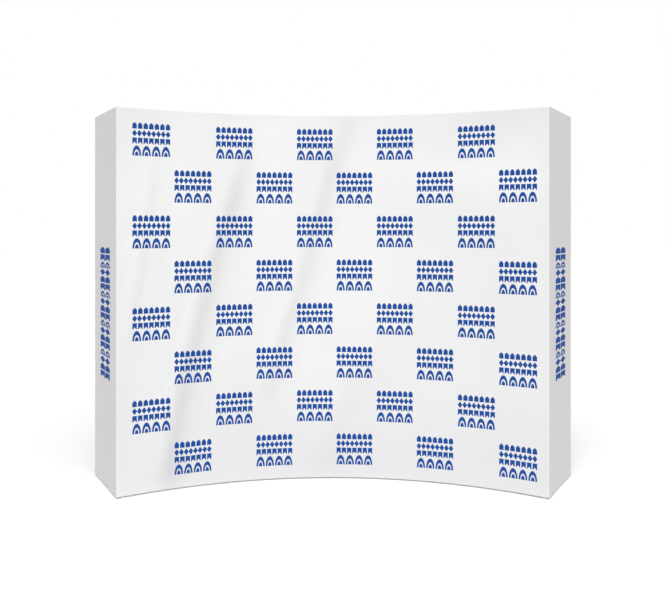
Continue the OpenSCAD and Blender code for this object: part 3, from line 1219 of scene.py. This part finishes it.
@dataclass(frozen=True)
class Fold:
    """A soft furrow in the hanging cloth, with a ridge on each side of it, and with shade painted in the
    furrow and light painted beside it.

    Its line is the arc length and height of points along the furrow, which rise. Each ridge and the lit
    band are a place and a reach, counted in widths of the furrow. Each fade is how far past the end of
    the line the fold is gone, and the length over which it goes.
    """

    line: tuple[tuple[float, float], ...]
    height: float
    width: float
    # Strengths of the painted shade in the furrow and of the painted light on the lit band
    dark: float
    light: float
    ridges: tuple[tuple[float, float], ...] = ((-1.0, 0.75), (1.1, 0.85))
    lit: tuple[float, float] = (2.2, 1.3)
    low_fade: tuple[float, float] = (0.20, 0.35)
    high_fade: tuple[float, float] = (0.25, 0.45)

    def middle(self, z: float) -> float:
        """Where the furrow is at a height. Past its ends, its line goes straight on.

        Args:
            z: Height above the floor.

        Returns:
            Arc length of the furrow's middle.
        """
        pairs = list(zip(self.line, self.line[1:]))
        (start, low), (end, high) = next((pair for pair in pairs if z <= pair[1][1]), pairs[-1])
        return start + (end - start) * ((z - low) / (high - low))

    def strength(self, z: float) -> float:
        """How much of the fold is there at a height."""
        (before, rise), (after, fall) = self.low_fade, self.high_fade
        return ease((z - self.line[0][1] + before) / rise) * ease((self.line[-1][1] + after - z) / fall)

    def band(self, off: float, place: tuple[float, float]) -> float:
        """The strength of a band beside the furrow, at a distance from the furrow's middle."""
        return bell(off - place[0] * self.width, place[1] * self.width)

    def proud(self, along: float, z: float) -> float:
        """How far the cloth stands proud because of this fold."""
        off = along - self.middle(z)
        return self.height * self.strength(z) * sum(self.band(off, ridge) for ridge in self.ridges)

    def shade(self, along: float, z: float) -> float:
        """The painted light and shade: painted shade below 0 in the furrow, and painted light above 0 on the
        band to its right.
        """
        off = along - self.middle(z)
        return self.strength(z) * (self.light * self.band(off, self.lit) - self.dark * bell(off, self.width))


@dataclass(frozen=True)
class Swell:
    """A broad soft swelling of the cloth, with its painted level at its middle: painted light above 0,
    painted shade below 0. At height 0 it has no relief, only the painted level.
    """

    along: float
    z: float
    reach: tuple[float, float]
    height: float
    tone: float

    def share(self, along: float, z: float) -> float:
        """1 in the swell's middle, falling to 0 around it."""
        return bell(math.hypot((along - self.along) / self.reach[0], (z - self.z) / self.reach[1]), 1.0)


# ---------------------------------------------------------------- the graphic


@dataclass(frozen=True)
class Pattern:
    """How a cloth is cut and sewn. A run is a distance along its face in plan.

    Its grid has a column at each of its runs, its hems are sewn along hem_runs, and a seam stands at each
    of seam_runs.
    """

    name: str
    node: str
    slot: str
    backing: str
    rests_on: list[str]
    flat_width: float
    runs: Sequence[float]
    hem_runs: Sequence[float]
    seam_runs: Sequence[float]
    # The painted light and shade over the face, if any
    painted_shading: Optional[PaintedShadingField] = None


@dataclass(kw_only=True)
class SewnCloth:
    """A printed and hemmed cloth of the wall, held stretched on hook pads."""

    plan: WallPlan
    stitches: StitchTree
    artwork: Union[PrintLayout, PrintStrip]
    cloth_finish: KnitFinish
    row_step: float
    hem: Hem = field(default_factory=Hem)
    seam: CornerSeam = field(default_factory=CornerSeam)

    def pattern(self) -> Pattern:
        """How the cloth is cut and sewn."""
        raise NotImplementedError

    def outer(self, run: float, z: float) -> Vector:
        """A point on the face."""
        raise NotImplementedError

    def inner(self, run: float, z: float) -> Vector:
        """A point on the back."""
        raise NotImplementedError

    def inset(self, z: float) -> float:
        """Distance of a height from the nearer hemmed edge."""
        return min(z - self.plan.hem_gap, self.plan.height - z)

    def materials(self, cut: Pattern) -> list[bpy.types.Material]:
        """Dyes and prints the cloth.

        Args:
            cut: How the cloth is cut.

        Returns:
            The material of the face and the material of the back.
        """
        start, low = cut.runs[0], self.plan.hem_gap
        width, height = cut.runs[-1] - start, self.plan.height - low

        def ink(across: Value, up: Value) -> Value:
            """The print, from the cloth's own map."""
            return self.artwork.mask(across + start, up + low)

        finishes = (self.cloth_finish, BrushedFinish(cut.backing))
        return [finish.make(width, height, ink) for finish in finishes]

    def stitch_lines(self, cut: Pattern, heights: Sequence[float]) -> list[list[Vector]]:
        """The lines of stitches on the face.

        Args:
            cut: How the cloth is sewn.
            heights: The heights of the cloth's grid rows.

        Returns:
            The points of each line.
        """
        sewn = [z for row in self.hem.stitch_rows for z in (self.plan.hem_gap + row, self.plan.height - row)]
        hems = [[self.outer(run, z) for run in cut.hem_runs] for z in sewn]
        return hems + [[self.outer(run, z) for z in heights[1:-1]] for run in cut.seam_runs]

    def build(self, thread: bpy.types.Material) -> None:
        """Builds the cloth and its stitches.

        Args:
            thread: The material of its stitches.
        """
        cut = self.pattern()
        low, high = self.plan.hem_gap, self.plan.height
        heights = hemmed_heights(low, high, self.hem, self.row_step)
        shell = ClothShell(f"{cut.name}_cloth", self.outer, self.inner, cut.runs, heights, cut.painted_shading)
        piece = shell.build(self.materials(cut))
        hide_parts(cut.node)
        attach(piece, "frame")
        seams = self.stitches.sew(f"{cut.name}_stitches", self.stitch_lines(cut, heights), thread)
        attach(seams, "frame")
        report(piece, cut.slot)
        report(seams, cut.slot)


@dataclass(kw_only=True)
class FrontGraphic(SewnCloth):
    """The curved printed front: one stretched cloth, hemmed at the top and bottom."""

    artwork: PrintLayout = field(default_factory=PrintLayout)
    # Its furrow colour is painted shade for the folds, and its cloth colour painted light for ridges and
    # swells
    cloth_finish: KnitFinish = KnitFinish("front_knit_painted_shading", srgb(234, 234, 234), srgb(202, 202, 203))
    row_step: float = 22 * MM
    column_step: float = 14 * MM
    corner_gap: float = 0.6 * MM
    pad_reach: float = 55 * MM
    corner_reach: float = 100 * MM
    hem_reach: float = 180 * MM
    hem_sway: float = 0.25
    # Painted shading of the front: a shift added all over, a painted highlight along each corner seam, and
    # that highlight's width
    base_tone: float = 0.20
    corner_painted_highlight: float = 0.40
    edge_reach: float = 7 * MM
    slack: float = 1.2 * MM
    waves: tuple[Wave, Wave] = (Wave(1.0, 5.3, 1.7), Wave(1.0, -2.2, 3.1))
    # Each fold stands proud as real relief, and also paints shade into its furrow and light beside it
    folds: tuple[Fold, ...] = (
        Fold(
            ((-0.99, 0.06), (-0.93, 0.44), (-0.83, 0.88), (-0.71, 1.35), (-0.55, 1.90)),
            height=7 * MM, width=66 * MM, dark=0.78, light=0.16,
        ),
        Fold(
            ((-0.36, 0.60), (-0.27, 0.94), (-0.175, 1.22), (-0.05, 1.70), (0.06, 2.12)),
            height=6 * MM, width=60 * MM, dark=0.56, light=0.14,
        ),
        Fold(
            ((-1.21, 0.90), (-1.15, 1.25), (-1.06, 1.89)),
            height=4 * MM, width=50 * MM, dark=0.20, light=0.12,
        ),
        Fold(
            ((-0.05, 0.08), (0.10, 0.42), (0.24, 0.78)),
            height=4 * MM, width=90 * MM, dark=0.22, light=0.0,
        ),
    )
    # Swells with a height stand proud; every swell also paints light where its level is above 0 and shade
    # where it is below 0, such as the darker cloth along the bottom
    swells: tuple[Swell, ...] = (
        Swell(0.86, 1.84, (0.36, 0.12), 6 * MM, 0.34),
        Swell(0.36, 1.92, (0.26, 0.12), 4 * MM, 0.16),
        Swell(1.18, 1.92, (0.26, 0.36), 0.0, 0.30),
        Swell(1.00, 2.22, (0.20, 0.12), 0.0, -0.28),
        Swell(0.10, 2.16, (0.10, 0.14), 0.0, -0.24),
        Swell(-0.36, 1.80, (0.13, 0.50), 4 * MM, 0.26),
        Swell(-0.88, 1.85, (0.14, 0.55), 3 * MM, 0.26),
        Swell(0.24, 1.25, (0.16, 0.45), 3 * MM, 0.14),
        Swell(-1.20, 1.20, (0.14, 0.90), 0.0, 0.14),
        Swell(0.60, 0.03, (1.00, 0.46), 0.0, -0.60),
        Swell(-0.40, 0.06, (0.60, 0.38), 0.0, -0.42),
        Swell(-1.20, 1.80, (0.20, 0.46), 0.0, 0.24),
        Swell(-0.70, 0.46, (0.36, 0.40), 0.0, -0.24),
        Swell(-1.00, 0.10, (0.22, 0.20), 0.0, -0.28),
        Swell(0.36, 0.74, (0.30, 0.34), 0.0, -0.20),
        Swell(-1.27, 0.45, (0.10, 0.30), 0.0, -0.20),
        Swell(1.24, 1.00, (0.14, 1.20), 0.0, 0.12),
    )

    def pattern(self) -> Pattern:
        """Cuts the front from corner to corner, with close columns at its seams.

        Returns:
            How it is cut and sewn. Its runs are arc lengths from the middle of the wall.
        """
        to_corner = self.plan.half_length
        half = to_corner - self.corner_gap
        corner = [to_corner - distance for distance in self.seam.grid()]
        inside = span(SEAM_CLEAR - half, half - SEAM_CLEAR, self.column_step)
        return Pattern(
            name="front",
            node="front_graphic",
            slot="printed_fabric",
            backing="front_backing",
            rests_on=["front_hook_pads"],
            flat_width=2 * half,
            runs=[-half, *(-run for run in corner), *inside, *reversed(corner), half],
            hem_runs=inside,
            seam_runs=[self.seam.inset - to_corner, to_corner - self.seam.inset],
            painted_shading=self.painted_shading,
        )

    def held(self, run: float, z: float) -> float:
        """How free the cloth is to leave its arc.

        Args:
            run: Arc length from the middle of the wall.
            z: Height above the floor.

        Returns:
            0 on a hook pad and at a corner, a little at a hem, and 1 far from them all.
        """
        free = self.hem_sway + (1 - self.hem_sway) * ease(self.inset(z) / self.hem_reach)
        for hub_run, hub_z in self.plan.hub_places():
            free *= 1 - bell(math.hypot(run - hub_run, z - hub_z), self.pad_reach)
        return free * ease((self.plan.half_length - abs(run)) / self.corner_reach)

    def proud(self, run: float, z: float) -> float:
        """How far the face stands in front of its arc, towards the viewer.

        Args:
            run: Arc length from the middle of the wall.
            z: Height above the floor.

        Returns:
            The distance, which is below 0 behind the arc.
        """
        first, second = self.waves
        sway = sum(fold.proud(run, z) for fold in self.folds)
        sway += sum(swell.height * swell.share(run, z) for swell in self.swells)
        sway += self.slack * (1 + first.at(run, z)) * (1 + second.at(run, z))
        seam = self.seam.pull(self.plan.half_length - abs(run))
        return sway * self.held(run, z) + self.hem.relief(self.inset(z)) - seam

    def outer(self, run: float, z: float) -> Vector:
        """A point on the face."""
        return self.plan.on_front(run, z, self.proud(run, z))

    def inner(self, run: float, z: float) -> Vector:
        """A point on the back, behind the face by the thickness of the cloth."""
        thickness = self.plan.cloth + self.hem.thickness(self.inset(z))
        return self.plan.on_front(run, z, self.proud(run, z) - thickness)

    def painted_shading(self, run: float, z: float) -> float:
        """The painted light and shade of the cloth, summed from its folds, swells and corners.

        Args:
            run: Arc length from the middle of the wall.
            z: Height above the floor.

        Returns:
            -1, the darkest painted shade deep in a furrow, to 1, the lightest painted light on a taut swell.
        """
        tone = sum(fold.shade(run, z) for fold in self.folds)
        tone += sum(swell.tone * swell.share(run, z) for swell in self.swells)
        # Painted highlight along each corner seam
        tone += self.corner_painted_highlight * bell(self.plan.half_length - abs(run), self.edge_reach)
        return max(-1.0, min(1.0, tone + self.base_tone))


@dataclass(kw_only=True)
class EndPanel(SewnCloth):
    """A flat printed end panel whose back edge turns in as a flap behind the back hubs."""

    side: Side
    artwork: PrintStrip = field(default_factory=PrintStrip)
    # The end knit is a darker copy of the front's white knit: painted shade that makes the end panels grey
    cloth_finish: KnitFinish = KnitFinish("end_knit_painted_shade", srgb(215, 213, 214), srgb(209, 207, 208))
    row_step: float = 30 * MM
    column_step: float = 20 * MM
    bend_step: float = 1.3 * MM
    flap_step: float = 12 * MM
    turn: float = 5 * MM
    front_inset: float = 0.3 * MM
    front_reach: float = 60 * MM
    back_reach: float = 80 * MM
    hem_reach: float = 150 * MM
    hem_sway: float = 0.3
    waves: tuple[Wave, Wave] = (Wave(0.6 * MM, 9.0, 2.4), Wave(0.5 * MM, 4.0, 3.3, phase=1.0))

    @property
    def straight(self) -> float:
        """Length of the flat side, up to the bend."""
        return self.plan.end_depth - self.turn

    @property
    def bend_end(self) -> float:
        """Distance along the face to the end of the bend."""
        return self.straight + self.turn * math.pi / 2

    @property
    def length(self) -> float:
        """Length of the panel's face, from the corner round to the end of its flap."""
        return self.bend_end + self.plan.flap - self.turn

    def pattern(self) -> Pattern:
        """Cuts the panel from its front edge to the end of its flap, with close columns in its bend.

        Returns:
            How it is cut and sewn. Its runs are distances from the front corner.
        """
        name = f"{self.side.word}_end"
        inside = span(SEAM_CLEAR, self.straight, self.column_step)
        inside += span(self.straight, self.bend_end, self.bend_step)[1:]
        inside += span(self.bend_end, self.length, self.flap_step)[1:]
        return Pattern(
            name=name,
            node=f"{name}_panel",
            slot="end_fabric",
            backing=f"{self.side.word}_backing",
            rests_on=["rear_hook_pads", "front_cloth"],
            flat_width=self.length,
            runs=[self.front_inset, *self.seam.grid(), *inside],
            hem_runs=inside,
            seam_runs=[self.seam.inset],
        )

    def point(self, run: float, z: float, proud: float) -> Vector:
        """A point of the panel, on its flat side, its bend or its flap.

        Args:
            run: Distance along the face from the front corner.
            z: Height above the floor.
            proud: Distance outside the smooth face.

        Returns:
            The point.
        """
        if run <= self.straight:
            return self.plan.on_end(self.side, run, z, proud)
        if run <= self.bend_end:
            angle = (run - self.straight) / self.turn
            reach = self.turn + proud
            depth = self.straight + reach * math.sin(angle)
            return self.plan.on_end(self.side, depth, z, reach * math.cos(angle) - self.turn)
        inward = run - self.bend_end + self.turn
        return self.plan.on_end(self.side, self.plan.end_depth + proud, z, -inward)

    def ripple(self, run: float, z: float) -> float:
        """The slight waves of the flat side, which fade out towards its edges.

        Args:
            run: Distance along the face from the front corner.
            z: Height above the floor.

        Returns:
            How far they stand proud.
        """
        held = ease(run / self.front_reach) * ease((self.plan.end_depth - run) / self.back_reach)
        held *= self.hem_sway + (1 - self.hem_sway) * ease(self.inset(z) / self.hem_reach)
        return held * sum(wave.at(run, z) for wave in self.waves)

    def outer(self, run: float, z: float) -> Vector:
        """A point on the face."""
        relief = self.hem.relief(self.inset(z)) - self.seam.pull(run)
        return self.point(run, z, self.ripple(run, z) + relief)

    def inner(self, run: float, z: float) -> Vector:
        """A point on the back, behind the ripples by the thickness of the cloth."""
        thickness = self.plan.cloth + self.hem.thickness(self.inset(z))
        return self.point(run, z, self.ripple(run, z) - thickness)


# ---------------------------------------------------------------- the lattice


@dataclass
class Lattice:
    """The finishes of the frame: of its hubs, tubes, tips, pins, washers, pads, locks and feet."""

    hub: MouldedFinish = MouldedFinish("hub_moulding", srgb(48, 49, 52), srgb(96, 97, 100))
    tip: MouldedFinish = MouldedFinish(
        "tip_moulding", srgb(40, 41, 43), srgb(84, 85, 88), gloss=0.42
    )
    lock: MouldedFinish = MouldedFinish(
        "lock_moulding", srgb(54, 55, 58), srgb(104, 105, 108), gloss=0.44
    )
    foot: MouldedFinish = MouldedFinish(
        "foot_moulding", srgb(214, 214, 212), srgb(176, 175, 172), gloss=0.55
    )
    tube: DrawnMetalFinish = DrawnMetalFinish(
        "drawn_aluminium", srgb(214, 216, 219), srgb(186, 188, 192)
    )
    steel: DrawnMetalFinish = DrawnMetalFinish(
        "plated_steel", srgb(206, 205, 202), srgb(160, 160, 160), gloss=0.24
    )
    nylon: NylonFinish = field(default_factory=NylonFinish)
    tape: TapeFinish = field(default_factory=TapeFinish)

    def dress(self) -> None:
        """Gives each node of the frame its material, by the slot that the record names."""
        finishes = {
            "hub_plastic": self.hub,
            "tip_plastic": self.tip,
            "lock_plastic": self.lock,
            "foot_plastic": self.foot,
            "tube_aluminium": self.tube,
            "pin_steel": self.steel,
            "washer_nylon": self.nylon,
            "hook_pad": self.tape,
        }
        materials = {slot: finish.make() for slot, finish in finishes.items()}
        for part in frame["record"]["subparts"]:
            material = materials.get(part["material_slot"])
            if material is None:
                continue
            node = frame["nodes"][part["node"]]
            for material_slot in node.material_slots:
                material_slot.material = material
            LOG.info("%s: %s", part["node"], material.name)


# ---------------------------------------------------------------- the studio


@dataclass(frozen=True)
class Sun:
    """A broad soft light, with its angles in degrees.

    Its azimuth goes from the viewer's direction to the viewer's right, and its elevation up from the
    horizon. Its spread is its apparent size, which softens the shadows.
    """

    name: str
    azimuth: float
    elevation: float
    strength: float
    spread: float
    distance: float = 6.0

    def shine(self) -> None:
        """Adds the light."""
        data = bpy.data.lights.new(self.name, "SUN")
        data.energy = self.strength
        data.angle = math.radians(self.spread)
        light = bpy.data.objects.new(self.name, data)
        bpy.context.scene.collection.objects.link(light)
        around, up = math.radians(self.azimuth), math.radians(self.elevation)
        towards = Vector((math.sin(around) * math.cos(up), -math.cos(around) * math.cos(up), math.sin(up)))
        light.rotation_mode = "QUATERNION"
        light.rotation_quaternion = (-towards).to_track_quat("-Z", "Y")
        light.location = towards * self.distance


@dataclass
class Studio:
    """The pale floor, the soft lights and the camera.

    The eye is the camera's X and its height, and it stands off that far in front of the front's corners.
    Its focal length and its horizon's row are in pixels of the photograph.
    """

    plan: WallPlan
    focal_pixels: float = 731.62
    horizon_row: float = 226.92
    eye: tuple[float, float] = (0.014, 1.5676)
    stand_off: float = 4.2036
    yaw: float = 0.0027
    ambient: float = 0.40
    floor_colour: Colour = (0.73, 0.73, 0.73, 1.0)
    floor_rough: float = 0.9
    floor_glow: float = 0.09
    floor_reach: float = 40.0
    view_reach: float = 200.0
    sensor_width: float = 36.0
    white: Colour = (1.0, 1.0, 1.0, 1.0)
    suns: tuple[Sun, ...] = (
        Sun("key", azimuth=-18.0, elevation=56.0, strength=1.69, spread=28.0),
        Sun("fill", azimuth=21.0, elevation=54.0, strength=1.56, spread=40.0),
        Sun("back", azimuth=180.0, elevation=14.0, strength=0.5, spread=24.0),
    )

    def build(self) -> None:
        """Builds the floor, the world, the lights and the camera."""
        self._floor()
        self._world()
        for sun in self.suns:
            sun.shine()
        self._camera()

    def _floor(self) -> None:
        """A wide pale floor that shows white to the camera where nothing shades it."""
        far = self.floor_reach
        corners = [(-far, -far, 0), (far, -far, 0), (far, far, 0), (-far, far, 0)]
        mesh = bpy.data.meshes.new("floor")
        mesh.from_pydata(corners, [], [(0, 1, 2, 3)])
        graph = Graph("pale_floor")
        graph.finish(self.floor_colour, self.floor_rough, Specular_IOR_Level=0.0)
        glow = {"Color": self.white, "Strength": graph.seen() * self.floor_glow}
        lit = graph.node("ShaderNodeEmission", inputs=glow)
        both = graph.node("ShaderNodeAddShader", inputs={0: graph.shader.outputs["BSDF"], 1: lit.outputs[0]})
        graph.link(both.outputs[0], graph.output.inputs["Surface"])
        floor = new_piece("floor", mesh, [graph.material])

    def _world(self) -> None:
        """A white surround for the camera and for reflections, and a soft even light elsewhere."""
        world = bpy.data.worlds.new("studio")
        bpy.context.scene.world = world
        world.use_nodes = True
        tree = Tree(world.node_tree)
        strength = tree.seen() * (1.0 - self.ambient) + self.ambient
        surround = tree.node("ShaderNodeBackground", inputs={"Color": self.white, "Strength": strength})
        tree.node("ShaderNodeOutputWorld", inputs={"Surface": surround.outputs[0]})

    def _camera(self) -> None:
        """The photograph's camera: level, a little right of the middle, and shifted to look down."""
        data = bpy.data.cameras.new("camera")
        data.sensor_fit = "HORIZONTAL"
        data.sensor_width = self.sensor_width
        data.lens = self.focal_pixels / IMAGE_SIZE[0] * self.sensor_width
        data.shift_y = (self.horizon_row - IMAGE_SIZE[1] / 2) / IMAGE_SIZE[0]
        data.clip_end = self.view_reach
        camera = bpy.data.objects.new("camera", data)
        bpy.context.scene.collection.objects.link(camera)
        corner = self.plan.on_front(self.plan.half_length, 0.0)
        camera.location = (self.eye[0], corner.y - self.stand_off, self.eye[1])
        camera.rotation_euler = (math.pi / 2, 0.0, self.yaw)
        bpy.context.scene.camera = camera
        bpy.context.scene.view_settings.view_transform = "Standard"


# ---------------------------------------------------------------- main


def main() -> None:
    """Builds the studio, the cloth and the lattice."""
    logging.basicConfig(level=logging.INFO, format="%(message)s", stream=sys.stdout)
    plan = WallPlan()
    plan.check()
    Studio(plan).build()
    thread = ThreadFinish().make()
    stitches = StitchTree()
    FrontGraphic(plan=plan, stitches=stitches).build(thread)
    for side in Side:
        EndPanel(plan=plan, stitches=stitches, side=side).build(thread)
    Lattice().dress()


if __name__ == "__main__":
    main()
